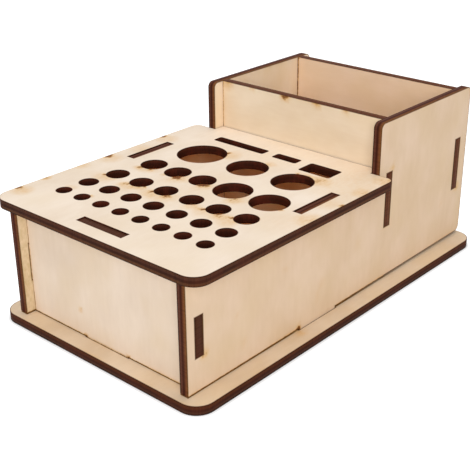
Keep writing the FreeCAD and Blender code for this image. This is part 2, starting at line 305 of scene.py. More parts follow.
@dataclass(frozen=True)
class BasswoodVeneer:
    """Peeled basswood face veneer, sanded and left bare.

    It gives the eye a pale, close-grained sheet with faint strokes along the grain, blotches that
    drift from grey to ochre, and a dull sheen. The beam chars it at the cut, and leaves a golden
    haze beside the cut and brown smears where it lingered. It also carries painted shade: a brown
    tint on the faces of the closed box under the deck, and a dark band under the feet of the sheets
    that stand on it.
    """

    name: str
    grain: Grain
    shift: float
    pale: str
    tan: str
    ochre: str
    # Painted shade: the brown tint on the faces of the closed box under the deck.
    painted_box_shade: str = "#F5BE86"
    haze: str = "#DDB172"
    smear: str = "#7A4A22"
    char: str = "#33180B"
    # Painted shade: the dark band on the floor under the feet of the sheets that stand on it, and those
    # sheets.
    soot: str = "#966B3A"
    painted_shade_feet: tuple[str, ...] = ()
    stroke: Pattern = Pattern(10 * MM, 2.4 * MM, 2.0)
    # Real fibres are too fine to show, so they are drawn several times as wide.
    fibre: Pattern = Pattern(30 * MM, 0.5 * MM, 3.0)
    cloud: Pattern = Pattern(34 * MM, 22 * MM, 3.0)
    blotch: Pattern = Pattern(26 * MM, 20 * MM, 3.0)
    fleck: Pattern = Pattern(2.2 * MM, 1.4 * MM, 2.0)
    stroke_share: float = 0.22
    fibre_share: float = 0.08
    tone: tuple[float, ...] = (0.46, 0.84)
    mellowing: tuple[float, ...] = (0.42, 0.72, 0.0, 0.5)
    # How strongly the box's painted shade follows the wood's tone, and how the painted shade under the feet
    # fades towards the rear.
    painted_box_shade_drift: tuple[float, ...] = (0.0, 1.0, 0.5, 1.0)
    foot_shade_fade: tuple[float, ...] = (5 * MM, 75 * MM, 1.0, 0.0)
    raggedness: tuple[float, ...] = (0.3, 0.7, 0.7, 1.3)
    haze_patch: tuple[float, ...] = (0.5, 0.75, 0.0, 0.5)
    haze_width: float = 2.1 * MM
    burning: tuple[float, ...] = (0.55, 1.25)
    char_start: float = 0.1 * MM
    char_width: float = 0.22 * MM
    toast_width: float = 0.25 * MM
    toast_share: float = 0.6
    roughness: tuple[float, ...] = (0.0, 1.0, 0.55, 0.75)
    gloss: float = 0.15
    ior: float = 1.5
    relief: float = 0.02 * MM
    relief_share: float = 0.3
    face_margin: float = 0.05 * MM

    def material(self) -> bpy.types.Material:
        """Makes the veneer's material.

        Returns:
            The material, for the faces of one sheet.
        """
        material = bpy.data.materials.new(f"basswood_veneer_{self.name}")
        material.use_nodes = True
        tree = material.node_tree
        shader = tree.nodes["Principled BSDF"]
        shader.inputs["IOR"].default_value = self.ior
        shader.inputs["Specular IOR Level"].default_value = self.gloss

        place = add_node(tree, "ShaderNodeTexCoord").outputs["Object"]
        patterns = self.lay_patterns(tree, place)
        fibrous = add_node(tree, "ShaderNodeMath", {"operation": "MULTIPLY_ADD", 1: self.fibre_share},
                           {0: patterns["fibre"], 2: patterns["cloud"]})
        wood = add_node(tree, "ShaderNodeMath", {"operation": "MULTIPLY_ADD", 1: self.stroke_share},
                        {0: patterns["stroke"], 2: fibrous.outputs[0]})
        tone = add_node(tree, "ShaderNodeMapRange", dict(zip(RANGE, self.tone)), {0: wood.outputs[0]})
        mellow = add_node(tree, "ShaderNodeMapRange", dict(zip(RANGE, self.mellowing)),
                          {0: patterns["blotch"]})
        stains_and_shades = [(mellow, self.ochre)]
        # Painted shade, in the closed box and under the feet, goes in among the stains.
        stains_and_shades += self.painted_shades(tree, place, tone.outputs[0])
        stains_and_shades += self.beam_marks(tree, patterns)
        bare = {"data_type": "RGBA", MIX_FIRST: linear(self.pale), MIX_SECOND: linear(self.tan)}
        colour = add_node(tree, "ShaderNodeMix", bare, {0: tone.outputs[0]}).outputs[MIX_RESULT]
        for share, stain in stains_and_shades:
            colour = add_node(tree, "ShaderNodeMix", {"data_type": "RGBA", MIX_SECOND: linear(stain)},
                              {0: share.outputs[0], MIX_FIRST: colour}).outputs[MIX_RESULT]
        tree.links.new(colour, shader.inputs["Base Color"])

        dull = add_node(tree, "ShaderNodeMapRange", dict(zip(RANGE, self.roughness)), {0: patterns["fibre"]})
        tree.links.new(dull.outputs[0], shader.inputs["Roughness"])
        raised = add_node(tree, "ShaderNodeBump", {"Strength": self.relief_share, "Distance": self.relief},
                          {"Height": patterns["fibre"]})
        tree.links.new(raised.outputs["Normal"], shader.inputs["Normal"])
        return material

    def lay_patterns(self, tree: bpy.types.NodeTree,
                     place: bpy.types.NodeSocket) -> dict[str, bpy.types.NodeSocket]:
        """Adds the wood's patterns, drawn out along the grain.

        Args:
            tree: the node tree that takes the nodes.
            place: where a point of the sheet lies.

        Returns:
            The patterns' sockets by name.
        """
        turned = add_node(tree, "ShaderNodeMapping",
                          {"Rotation": self.grain.value, "Location": (self.shift, self.shift, self.shift)},
                          {"Vector": place})
        patterns = {}
        for shift, name in enumerate(("stroke", "fibre", "cloud", "blotch", "fleck")):
            pattern = getattr(self, name)
            scale = (1 / pattern.length, 1 / pattern.width, 1 / pattern.width)
            stretched = add_node(tree, "ShaderNodeVectorMath",
                                 {"operation": "MULTIPLY_ADD", 1: scale, 2: (shift, shift, shift)},
                                 {0: turned.outputs["Vector"]})
            field = add_node(tree, "ShaderNodeTexNoise", {"Scale": 1.0, "Detail": pattern.detail},
                             {"Vector": stretched.outputs["Vector"]})
            patterns[name] = field.outputs[0]
        return patterns

    def painted_shades(self, tree: bpy.types.NodeTree, place: bpy.types.NodeSocket,
                     tone: bpy.types.NodeSocket) -> list[tuple[bpy.types.Node, str]]:
        """Adds painted shade: a brown tint on the faces of the closed box, and a dark band under the sheets'
        feet.

        Args:
            tree: the node tree that takes the nodes.
            place: where a point of the sheet lies.
            tone: how dark the bare wood is, which the painted shade in the box follows.

        Returns:
            The node of each painted shade's share, and its colour.
        """
        low = Vector((span("left_side_wall", "x")[1], span("front_panel", "y")[1],
                      span("base_plate", "z")[1]))
        high = Vector((span("right_side_wall", "x")[0], span("bin_front_wall", "y")[0],
                       span("tool_plate", "z")[0]))
        drift = add_node(tree, "ShaderNodeMapRange", dict(zip(RANGE, self.painted_box_shade_drift)), {0: tone})
        sides = add_node(tree, "ShaderNodeSeparateXYZ", None, {0: place})
        foot_shade_fading = add_node(tree, "ShaderNodeMapRange", dict(zip(RANGE, self.foot_shade_fade)),
                          {0: sides.outputs["Y"]})
        # The closed box under the deck, whose faces take painted shade.
        painted_shade_boxes = [(low, high, drift, self.painted_box_shade)]
        # The floor under each listed sheet's foot takes painted shade that fades towards the rear.
        for node in self.painted_shade_feet:
            foot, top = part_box(node)
            foot.z = low.z
            painted_shade_boxes.append((foot, top, foot_shade_fading, self.soot))
        stains_and_shades = []
        for lowest, highest, strength, stain in painted_shade_boxes:
            inside = self.within(tree, place, lowest, highest)
            share = add_node(tree, "ShaderNodeMath", {"operation": "MULTIPLY"},
                             {0: inside.outputs[0], 1: strength.outputs[0]})
            stains_and_shades.append((share, stain))
        return stains_and_shades

    def beam_marks(self, tree: bpy.types.NodeTree,
                   patterns: dict[str, bpy.types.NodeSocket]) -> list[tuple[bpy.types.Node, str]]:
        """Adds what the beam left: haze, smears, a toasted line beside the char, and the char.

        Args:
            tree: the node tree that takes the nodes.
            patterns: the wood's patterns, which break the marks up.

        Returns:
            The node of each mark's share, and its colour.
        """
        distance = add_node(tree, "ShaderNodeAttribute", {"attribute_name": CUT_DISTANCE}).outputs["Fac"]
        scorch = add_node(tree, "ShaderNodeAttribute", {"attribute_name": SCORCH}).outputs["Fac"]
        ragged = add_node(tree, "ShaderNodeMapRange", dict(zip(RANGE, self.raggedness)),
                          {0: patterns["fleck"]})
        smeared = add_node(tree, "ShaderNodeMath", {"operation": "MULTIPLY"},
                           {0: scorch, 1: ragged.outputs[0]})
        patchy = add_node(tree, "ShaderNodeMapRange", dict(zip(RANGE, self.haze_patch)),
                          {0: patterns["cloud"]})
        beside_cut = (0.0, self.haze_width, 1.0, 0.0)
        near_cut = add_node(tree, "ShaderNodeMapRange", dict(zip(RANGE, beside_cut)), {0: distance})
        hazed = add_node(tree, "ShaderNodeMath", {"operation": "MULTIPLY_ADD", "use_clamp": True},
                         {0: near_cut.outputs[0], 1: patchy.outputs[0], 2: smeared.outputs[0]})
        eased = {"interpolation_type": "SMOOTHSTEP"}
        burnt = add_node(tree, "ShaderNodeMapRange", eased | dict(zip(RANGE, self.burning)),
                         {0: smeared.outputs[0]})
        beside_char = (self.char_width, self.char_width + self.toast_width, self.toast_share, 0.0)
        toasted = add_node(tree, "ShaderNodeMapRange", dict(zip(RANGE, beside_char)), {0: distance})
        at_cut = (self.char_start, self.char_width, 1.0, 0.0)
        charred = add_node(tree, "ShaderNodeMapRange", eased | dict(zip(RANGE, at_cut)), {0: distance})
        return [(hazed, self.haze), (burnt, self.smear), (toasted, self.smear), (charred, self.char)]

    def within(self, tree: bpy.types.NodeTree, place: bpy.types.NodeSocket, low: Vector,
               high: Vector) -> bpy.types.Node:
        """Adds a factor for the faces in a box.

        Args:
            tree: the node tree that takes the nodes.
            place: where a point of the sheet lies.
            low: the box's lowest corner.
            high: the box's highest corner.

        Returns:
            The node whose output is 1 on those faces and 0 elsewhere.
        """
        away = add_node(tree, "ShaderNodeVectorMath", {"operation": "SUBTRACT", 1: (low + high) / 2},
                        {0: place})
        size = add_node(tree, "ShaderNodeVectorMath", {"operation": "ABSOLUTE"}, {0: away.outputs[0]})
        past = add_node(tree, "ShaderNodeVectorMath", {"operation": "SUBTRACT", 1: (high - low) / 2},
                        {0: size.outputs[0]})
        along, across, up = add_node(tree, "ShaderNodeSeparateXYZ", None, {0: past.outputs[0]}).outputs
        further = add_node(tree, "ShaderNodeMath", {"operation": "MAXIMUM"}, {0: across, 1: up})
        furthest = add_node(tree, "ShaderNodeMath", {"operation": "MAXIMUM"},
                            {0: along, 1: further.outputs[0]})
        return add_node(tree, "ShaderNodeMath", {"operation": "LESS_THAN", 1: self.face_margin},
                        {0: furthest.outputs[0]})


@dataclass(frozen=True)
class LaserCharredEdge:
    """Three-ply edge as the beam leaves it.

    It gives the eye dark chocolate stripes, two red-brown veneers on a darker core, with near-black
    rims, fine streaks through the sheet and soot that comes and goes along the cut. Its layers run
    from the sheet's lower face to its upper one.
    """

    name: str
    lie: Lie
    layers: tuple[tuple[float, str], ...]
    soot: str = "#1C0E09"
    ember: str = "#55281A"
    streak_width: float = 0.5 * MM
    streak_length: float = 9 * MM
    streak_detail: float = 2.0
    patch: float = 14 * MM
    patch_detail: float = 3.0
    waviness: float = 0.06
    glow: tuple[float, ...] = (0.48, 0.75, 0.0, 0.6)
    sootiness: tuple[float, ...] = (0.42, 0.8, 0.0, 0.45)
    roughness: float = 0.65
    gloss: float = 0.06
    ior: float = 1.5
    relief: float = 0.05 * MM
    relief_share: float = 0.5

    def material(self) -> bpy.types.Material:
        """Makes the edge's material, once.

        Returns:
            The material, for the cut edges of every sheet that has this finish.
        """
        name = f"laser_charred_edge_{self.name}"
        if name in bpy.data.materials:
            return bpy.data.materials[name]
        material = bpy.data.materials.new(name)
        material.use_nodes = True
        tree = material.node_tree
        shader = tree.nodes["Principled BSDF"]
        shader.inputs["IOR"].default_value = self.ior
        shader.inputs["Specular IOR Level"].default_value = self.gloss
        shader.inputs["Roughness"].default_value = self.roughness

        place = add_node(tree, "ShaderNodeTexCoord").outputs["Object"]
        fine = Vector((1, 1, 1)) / self.streak_width
        fine += self.lie.through * (1 / self.streak_length - 1 / self.streak_width)
        stretched = add_node(tree, "ShaderNodeVectorMath", {"operation": "MULTIPLY", 1: fine}, {0: place})
        streak = add_node(tree, "ShaderNodeTexNoise", {"Scale": 1.0, "Detail": self.streak_detail},
                          {"Vector": stretched.outputs["Vector"]})
        patch = add_node(tree, "ShaderNodeTexNoise", {"Scale": 1 / self.patch, "Detail": self.patch_detail},
                         {"Vector": place})

        depth = add_node(tree, "ShaderNodeAttribute", {"attribute_name": PLY_DEPTH})
        lowered = add_node(tree, "ShaderNodeMath", {"operation": "SUBTRACT", 1: self.waviness / 2},
                           {0: depth.outputs["Fac"]})
        wavy = add_node(tree, "ShaderNodeMath", {"operation": "MULTIPLY_ADD", 1: self.waviness},
                        {0: patch.outputs[0], 2: lowered.outputs[0]})
        plies = add_node(tree, "ShaderNodeValToRGB", None, {"Fac": wavy.outputs[0]})
        stops = plies.color_ramp.elements
        for number, (height, colour) in enumerate(self.layers):
            stop = stops[number] if number < len(stops) else stops.new(height)
            stop.position = height
            stop.color = linear(colour)

        glow = add_node(tree, "ShaderNodeMapRange", dict(zip(RANGE, self.glow)), {0: patch.outputs[0]})
        sooty = add_node(tree, "ShaderNodeMapRange", dict(zip(RANGE, self.sootiness)), {0: streak.outputs[0]})
        colour = plies.outputs["Color"]
        for share, stain in ((glow, self.ember), (sooty, self.soot)):
            colour = add_node(tree, "ShaderNodeMix", {"data_type": "RGBA", MIX_SECOND: linear(stain)},
                              {0: share.outputs[0], MIX_FIRST: colour}).outputs[MIX_RESULT]
        tree.links.new(colour, shader.inputs["Base Color"])
        raised = add_node(tree, "ShaderNodeBump", {"Strength": self.relief_share, "Distance": self.relief},
                          {"Height": streak.outputs[0]})
        tree.links.new(raised.outputs["Normal"], shader.inputs["Normal"])
        return material


@dataclass
class PlywoodSheet:
    """One laser-cut sheet. Its kinds say what its outline, its cut-outs and its scorch marks are."""

    node: str
    lie: Lie
    veneer: BasswoodVeneer
    edge: LaserCharredEdge
    inner_edge: LaserCharredEdge | None = None
    body: str = "box"
    marks: tuple[Smear, ...] = ()
    scorch_bands: tuple[float, ...] = (0.25 * MM, 0.5 * MM, 1.35 * MM)
    rim_softness: float = 0.12 * MM
    rim_segments: int = 2
    rim_angle: float = math.radians(60)
    flat_cosine: float = 0.99
    merge_distance: float = 0.01 * MM
    full_scorch: float = 1.2
    mesh_step: float = 8 * MM
    corner_segments: int = 12
    hole_segments: int = 72
    tab_length: float = 30 * MM
    side_tab_distance: float = 93 * MM
    fixed_clearance: float = 0.1 * MM
    lift_clearance: float = 0.12 * MM
    plate_seam: float = 0.25 * MM
    bin_front_setback: float = 7.1 * MM

    def outline(self) -> list[Corner]:
        """The corners of the sheet's outer cut."""
        raise NotImplementedError

    def cutouts(self) -> list[list[Corner]]:
        """The corners of each cut-out with straight sides."""
        return []

    def holes(self) -> list[RoundHole]:
        """The round holes."""
        return []

    def smears(self) -> list[Smear | RimSmear]:
        """The scorch marks on the faces."""
        return list(self.marks)

    def painted_joint_shade(self, point: Vector) -> bool:
        """Whether a point of the flat sheet lies in a brown band of painted shade along a joint, and not in
        char.
        """
        return False

    def wall_tab(self) -> tuple[float, float]:
        """The two ends of the side walls' tabs, front to back."""
        middle = span("right_side_wall", "y")[0] + self.side_tab_distance
        return middle - self.tab_length / 2, middle + self.tab_length / 2

    def middle_tab(self) -> tuple[float, float]:
        """The two ends of a cross panel's middle tabs."""
        return -self.tab_length / 2, self.tab_length / 2

    def bin_edge(self) -> float:
        """Where the side walls rise from the tool plate to the bin."""
        return span("bin_front_wall", "y")[0] - self.bin_front_setback

    def draw_cut(self, sheet: bmesh.types.BMesh, corners: list[Corner]) -> None:
        """Draws one closed cut on the flat sheet, with its corners rounded.

        Args:
            sheet: the mesh that takes the cut's edges.
            corners: the cut's corners in order.
        """
        points = [sheet.verts.new((corner.along, corner.up, 0.0)) for corner in corners]
        sheet.faces.new(points)
        for point, corner in zip(points, corners):
            if corner.radius:
                bmesh.ops.bevel(sheet, geom=[point], offset=corner.radius, offset_type="OFFSET",
                                segments=self.corner_segments, profile=0.5, affect="VERTICES", material=-1)
        bmesh.ops.delete(sheet, geom=sheet.faces[:], context="FACES_ONLY")

    def cut_flat(self) -> bmesh.types.BMesh:
        """Cuts the sheet's face out, with bands beside the cuts that hold the scorch.

        Returns:
            The face as a flat mesh, with its points' distance from the cuts.
        """
        sheet = bmesh.new()
        inner = sheet.verts.layers.float.new(INNER_CUT)
        self.draw_cut(sheet, self.outline())
        outer_points = set(sheet.verts)
        for corners in self.cutouts():
            self.draw_cut(sheet, corners)
        for hole in self.holes():
            bmesh.ops.create_circle(sheet, cap_ends=False, segments=self.hole_segments, radius=hole.radius,
                                    matrix=Matrix.Translation((hole.along, hole.up, 0.0)))
        for point in set(sheet.verts) - outer_points:
            point[inner] = 1.0
        bmesh.ops.triangle_fill(sheet, use_beauty=True, use_dissolve=False, edges=sheet.edges[:],
                                normal=(0.0, 0.0, 1.0))
        layer = sheet.verts.layers.float.new(CUT_DISTANCE)
        inside = sheet.faces[:]
        distance = 0.0
        for width in self.scorch_bands:
            bmesh.ops.inset_region(sheet, faces=inside, use_boundary=True, use_even_offset=True,
                                   thickness=width)
            distance += width
            for point in {point for face in inside for point in face.verts}:
                point[layer] = distance
        fill_line = sheet.edges.layers.int.new(FILL_LINE)
        filled = set(inside)
        for edge in sheet.edges:
            edge[fill_line] = int(filled.issuperset(edge.link_faces))
        return sheet

    def refine(self, sheet: bmesh.types.BMesh) -> None:
        """Divides both faces into small cells, so that their points can hold the scorch marks.

        Args:
            sheet: the thick sheet.
        """
        faces = [face for face in sheet.faces if self.is_flat(face)]
        geometry = faces + [*{edge for face in faces for edge in face.edges},
                            *{point for face in faces for point in face.verts}]
        for axis in self.lie.value[:2]:
            across = unit(axis)
            low, high = span(self.node, axis)
            for step in range(1, math.ceil((high - low) / self.mesh_step)):
                cut = bmesh.ops.bisect_plane(sheet, geom=geometry, dist=self.merge_distance, plane_no=across,
                                             plane_co=across * (low + step * self.mesh_step))
                geometry = cut["geom"]
        fill_line = sheet.edges.layers.int[FILL_LINE]
        bmesh.ops.dissolve_edges(sheet, edges=[edge for edge in sheet.edges if edge[fill_line]],
                                 use_verts=True, use_face_split=False)

    def scorch(self, sheet: bmesh.types.BMesh) -> None:
        """Marks the sheet's points with the smears that reach them, and paints a brown band of shade along
        the joints, with the char kept back from it.

        Args:
            sheet: the thick sheet.
        """
        layer = sheet.verts.layers.float.new(SCORCH)
        distance = sheet.verts.layers.float[CUT_DISTANCE]
        depth = sheet.verts.layers.float[PLY_DEPTH]
        laid_flat = self.lie.standing(0.0).inverted()
        smears = self.smears()
        for point in sheet.verts:
            place = laid_flat @ point.co
            place.z = point[depth]
            painted_joint_shade = self.painted_joint_shade(place)
            point[layer] = min(self.full_scorch, painted_joint_shade + sum(smear.at(place) for smear in smears))
            point[distance] += painted_joint_shade * self.veneer.char_width

    def is_flat(self, face: bmesh.types.BMFace) -> bool:
        """Whether a face of the thick sheet is a part of its two broad faces."""
        return abs(face.normal.dot(self.lie.through)) > self.flat_cosine

    def thicken(self, sheet: bmesh.types.BMesh) -> None:
        """Gives the flat face its thickness, stands it in its place and softens its rims.

        Args:
            sheet: the flat face.
        """
        near, far = span(self.node, self.lie.value[2])
        grown = bmesh.ops.extrude_face_region(sheet, geom=sheet.faces[:])
        lifted = [item for item in grown["geom"] if isinstance(item, bmesh.types.BMVert)]
        bmesh.ops.translate(sheet, verts=lifted, vec=(0.0, 0.0, far - near))
        bmesh.ops.transform(sheet, matrix=self.lie.standing(near), verts=sheet.verts[:])
        bmesh.ops.recalc_face_normals(sheet, faces=sheet.faces[:])
        rims = [edge for edge in sheet.edges if edge.calc_face_angle() > self.rim_angle]
        bmesh.ops.bevel(sheet, geom=rims, offset=self.rim_softness, offset_type="OFFSET",
                        segments=self.rim_segments, profile=0.5, affect="EDGES", material=-1,
                        loop_slide=False)
        layer = sheet.verts.layers.float.new(PLY_DEPTH)
        through = self.lie.through
        for point in sheet.verts:
            point[layer] = (point.co.dot(through) - near) / (far - near)
        inner = sheet.verts.layers.float[INNER_CUT]
        for face in sheet.faces:
            face.smooth = True
            if not self.is_flat(face):
                cut_out = any(round(point[inner]) for point in face.verts)
                face.material_index = Surface.INNER_EDGE if cut_out else Surface.OUTER_EDGE

    def build(self) -> bpy.types.Object:
        """Builds the sheet.

        Returns:
            The sheet as a piece of the caddy that stands for its CAD node.
        """
        sheet = self.cut_flat()
        self.thicken(sheet)
        self.refine(sheet)
        self.scorch(sheet)
        mesh = bpy.data.meshes.new(f"{self.node}_sheet")
        sheet.to_mesh(mesh)
        sheet.free()
        piece = bpy.data.objects.new(f"{self.node}_sheet", mesh)
        bpy.context.scene.collection.objects.link(piece)
        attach(piece, self.body)
        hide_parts(self.node)
        return piece

    def dress(self, piece: bpy.types.Object) -> None:
        """Gives the piece the materials of its surfaces, in their order."""
        for finish in (self.veneer, self.edge, self.inner_edge or self.edge):
            piece.data.materials.append(finish.material())


@dataclass
class BasePlate(PlywoodSheet):
    """The floor, with a slot for the tab of each wall that stands on it."""

    corner_radius: float = 10 * MM

    def outline(self) -> list[Corner]:
        """The rounded rectangle of the floor."""
        return rectangle(span(self.node, "x"), span(self.node, "y"), self.corner_radius)

    def cutouts(self) -> list[list[Corner]]:
        """Gives the slots that take the tabs of the five walls.

        Returns:
            The corners of each slot.
        """
        room = self.fixed_clearance
        slots = [rectangle(widened(self.middle_tab(), room), widened(span(panel, "y"), room))
                 for panel in ("front_panel", "bin_front_wall", "rear_wall")]
        slots += [rectangle(widened(span(wall, "x"), room), widened(self.wall_tab(), room))
                  for wall in ("left_side_wall", "right_side_wall")]
        return slots


@dataclass
class SideWall(PlywoodSheet):
    """A side wall, low beside the tool rows and tall beside the bin."""

    corner_radius: float = 3.2 * MM
    front_gap: float = 0.5 * MM
    rear_gap: float = 1.6 * MM
    # The band of painted shade along the foot: its width, and how far back from the front it reaches.
    joint_shade_width: float = 0.3 * MM
    joint_shade_length: float = 150 * MM

    def foot(self, along: float) -> float:
        """Gives the height of the wall's foot, which rises a little from the front to the rear.

        Args:
            along: a place along the wall.

        Returns:
            The height of the foot there.
        """
        front, rear = span(self.node, "y")
        rise = (self.rear_gap - self.front_gap) * (along - front) / (rear - front)
        return span("base_plate", "z")[1] + self.front_gap + rise

    def painted_joint_shade(self, point: Vector) -> bool:
        """Tells where the wall takes painted shade: a brown band along the front part of its foot, beside the
        tab, for the shade in the gap under it.

        Args:
            point: a point of the flat sheet.

        Returns:
            Whether it takes the brown band of painted shade, and no char.
        """
        tab_front, tab_rear = self.wall_tab()
        joint_shade_end = span(self.node, "y")[0] + self.joint_shade_length
        beside_tab = not tab_front < point.x < tab_rear
        return beside_tab and point.x < joint_shade_end and point.y < self.foot(point.x) + self.joint_shade_width

    def outline(self) -> list[Corner]:
        """Gives the stepped outline, with a tab at its top and one at its bottom.

        Returns:
            Its corners in order.
        """
        front, rear = span(self.node, "y")
        tab_foot, top = span(self.node, "z")
        deck = span("tool_plate", "z")[0]
        tab_top = span("front_panel", "z")[1]
        tab_front, tab_rear = self.wall_tab()
        radius = self.corner_radius
        return [
            Corner(front, self.foot(front)), Corner(tab_front, self.foot(tab_front)),
            Corner(tab_front, tab_foot), Corner(tab_rear, tab_foot), Corner(tab_rear, self.foot(tab_rear)),
            Corner(rear, self.foot(rear), radius), Corner(rear, top, radius),
            Corner(self.bin_edge(), top, radius), Corner(self.bin_edge(), deck), Corner(tab_rear, deck),
            Corner(tab_rear, tab_top), Corner(tab_front, tab_top), Corner(tab_front, deck),
            Corner(front, deck)]

    def cutouts(self) -> list[list[Corner]]:
        """Gives the slots that take the ends of the cross panels.

        Returns:
            The corners of each slot.
        """
        room = self.fixed_clearance
        return [rectangle(widened(span(panel, "y"), room), widened(tab.ends(), room))
                for panel, tab in SIDE_TABS.items()]


@dataclass
class CrossPanel(PlywoodSheet):
    """A panel between the side walls, with a tab through each of them and tabs at its middle."""

    foot_gap: float = 0.35 * MM
    # The width of the band of painted shade along the foot and the ends.
    joint_shade_width: float = 0.3 * MM
    top_tab: bool = False

    def painted_joint_shade(self, point: Vector) -> bool:
        """Tells where the panel takes painted shade: a brown band along its foot and its ends, in its joints
        with the base plate and the side walls.

        Args:
            point: a point of the flat sheet.

        Returns:
            Whether it is browned, and not charred.
        """
        floor = span("base_plate", "z")[1] + self.foot_gap
        end = span("right_side_wall", "x")[0]
        return point.y < floor + self.joint_shade_width or abs(point.x) > end - self.joint_shade_width

    def outline(self) -> list[Corner]:
        """Gives the rectangle of the panel with its tabs.

        Returns:
            Its corners in order.
        """
        inner_left = span("left_side_wall", "x")[1]
        inner_right = span("right_side_wall", "x")[0]
        left, right = span(self.node, "x")
        foot, peak = span(self.node, "z")
        floor = span("base_plate", "z")[1] + self.foot_gap
        top = span("tool_plate", "z")[0] if self.top_tab else peak
        tab_left, tab_right = self.middle_tab()
        low, high = SIDE_TABS[self.node].ends()
        corners = [
            Corner(inner_left, floor), Corner(tab_left, floor), Corner(tab_left, foot),
            Corner(tab_right, foot), Corner(tab_right, floor), Corner(inner_right, floor),
            Corner(inner_right, low), Corner(right, low), Corner(right, high), Corner(inner_right, high),
            Corner(inner_right, top)]
        if self.top_tab:
            corners += [Corner(tab_right, top), Corner(tab_right, peak), Corner(tab_left, peak),
                        Corner(tab_left, top)]
        return corners + [
            Corner(inner_left, top), Corner(inner_left, high), Corner(left, high), Corner(left, low),
            Corner(inner_left, low)]


@dataclass
class ToolPlate(PlywoodSheet):
    """The deck, with five rows of round holes, a row of tool slots and a slot over each tab."""

    front_radius: float = 8.5 * MM
    ear_radius: float = 4 * MM
    slot_radius: float = 1.2 * MM
    tool_slots: tuple[tuple[str, float, float], ...] = (
        ("rule_slot", 35.4 * MM, 6.1 * MM), ("tweezer_slot", 15.8 * MM, 6.1 * MM),
        ("cutter_slot", 19.5 * MM, 11.8 * MM))
    rim_smears: tuple[tuple[str, tuple[tuple[float, float, float, float], ...]], ...] = (
        ("first_row_hole_1", ((90, 50, 4, 0.35),)), ("first_row_hole_2", ((55, 25, 2, 0.8),)),
        ("third_row_hole_1", ((227, 12, 2.5, 1.0), (255, 55, 9, 0.5), (305, 40, 4, 0.3))),
        ("third_row_hole_2", ((234, 18, 6, 0.6), (248, 45, 9, 0.45), (300, 45, 5, 0.6), (331, 9, 2.5, 1.2))),
        ("third_row_hole_3", ((227, 12, 3, 0.9), (238, 40, 9, 0.55), (317, 24, 4, 0.7), (305, 60, 9, 0.45))),
        ("third_row_hole_4", ((314, 40, 7, 0.5),)),
        ("third_row_hole_5", ((220, 13, 4, 1.0), (240, 40, 8, 0.45), (312, 45, 7, 0.65))),
        ("third_row_hole_6", ((210, 11, 3, 1.2), (238, 45, 10, 0.55))),
        ("fourth_row_hole_1", ((250, 20, 4.5, 0.7), (285, 60, 6, 0.5), (303, 14, 4, 0.4))),
        ("fourth_row_hole_2", ((244, 14, 3, 0.6), (303, 14, 4, 0.9), (318, 9, 3.5, 0.8), (322, 50, 9, 0.5))),
        ("fourth_row_hole_3", ((320, 28, 3, 0.8), (320, 50, 7, 0.35))),
        ("fourth_row_hole_4", ((312, 25, 7, 0.45), (330, 45, 10, 0.35))),
        ("fourth_row_hole_5", ((340, 10, 2, 0.9),)),
        ("fifth_row_hole_1", ((46, 7, 3, 1.0), (32, 28, 9, 0.5))),
        ("fifth_row_hole_2", ((64, 20, 6, 0.5),)),
        ("fifth_row_hole_3", ((45, 32, 10, 0.6), (84, 24, 3, 0.6), (115, 6, 3, 0.9))))

    def outline(self) -> list[Corner]:
        """Gives the deck's outline: two ears beside the bin and a tongue that meets its front wall.

        Returns:
            Its corners in order.
        """
        left, right = span(self.node, "x")
        front, tongue_rear = span(self.node, "y")
        ear_rear = self.bin_edge() - self.plate_seam
        tongue = widened((span("left_side_wall", "x")[1], span("right_side_wall", "x")[0]), -self.plate_seam)
        return [
            Corner(left, front, self.front_radius), Corner(right, front, self.front_radius),
            Corner(right, ear_rear, self.ear_radius), Corner(tongue[1], ear_rear),
            Corner(tongue[1], tongue_rear), Corner(tongue[0], tongue_rear),
            Corner(tongue[0], ear_rear), Corner(left, ear_rear, self.ear_radius)]

    def cutouts(self) -> list[list[Corner]]:
        """Gives the slots over the tabs, and the tool slots, which are centred on the frame's openings.

        Returns:
            The corners of each slot.
        """
        room = self.lift_clearance
        slots = [rectangle(widened(span(wall, "x"), room), widened(self.wall_tab(), room))
                 for wall in ("left_side_wall", "right_side_wall")]
        slots.append(rectangle(widened(self.middle_tab(), room), widened(span("front_panel", "y"), room)))
        openings = {opening["name"]: opening["box_m"] for opening in frame["record"]["physics"]["openings"]}
        for name, *size in self.tool_slots:
            low, high = openings[name]
            ends = [((start + end - length) / 2, (start + end + length) / 2)
                    for start, end, length in zip(low, high, size)]
            slots.append(rectangle(*ends, self.slot_radius))
        return slots

    def holes(self) -> list[RoundHole]:
        """The round holes, where the frame has its bores."""
        return [RoundHole(mount["name"], mount["pos_m"][0], mount["pos_m"][1], mount["dims"]["r_mm"] * MM)
                for mount in frame["record"]["mounts"] if mount["kind"] == "bore"]

    def smears(self) -> list[Smear | RimSmear]:
        """Gives the scorch marks, with those that hug the rims of holes.

        Returns:
            The marks of the whole deck.
        """
        holes = {hole.name: hole for hole in self.holes()}
        hugging = [RimSmear(holes[name], *smear) for name, smears in self.rim_smears for smear in smears]
        return super().smears() + hugging


@dataclass(frozen=True)
class Softbox:
    """A square studio lamp: where it hangs, what it points at, its side and its power in watts."""

    name: str
    place: tuple[float, float, float]
    aim: tuple[float, float, float]
    side: float
    power: float

    def hang(self) -> None:
        """Hangs the lamp in the scene."""
        lamp = bpy.data.lights.new(self.name, "AREA")
        lamp.shape = "SQUARE"
        lamp.size = self.side
        lamp.energy = self.power
        holder = bpy.data.objects.new(self.name, lamp)
        holder.location = self.place
        holder.rotation_mode = "QUATERNION"
        holder.rotation_quaternion = (Vector(self.aim) - Vector(self.place)).to_track_quat("-Z", "Y")
        bpy.context.scene.collection.objects.link(holder)


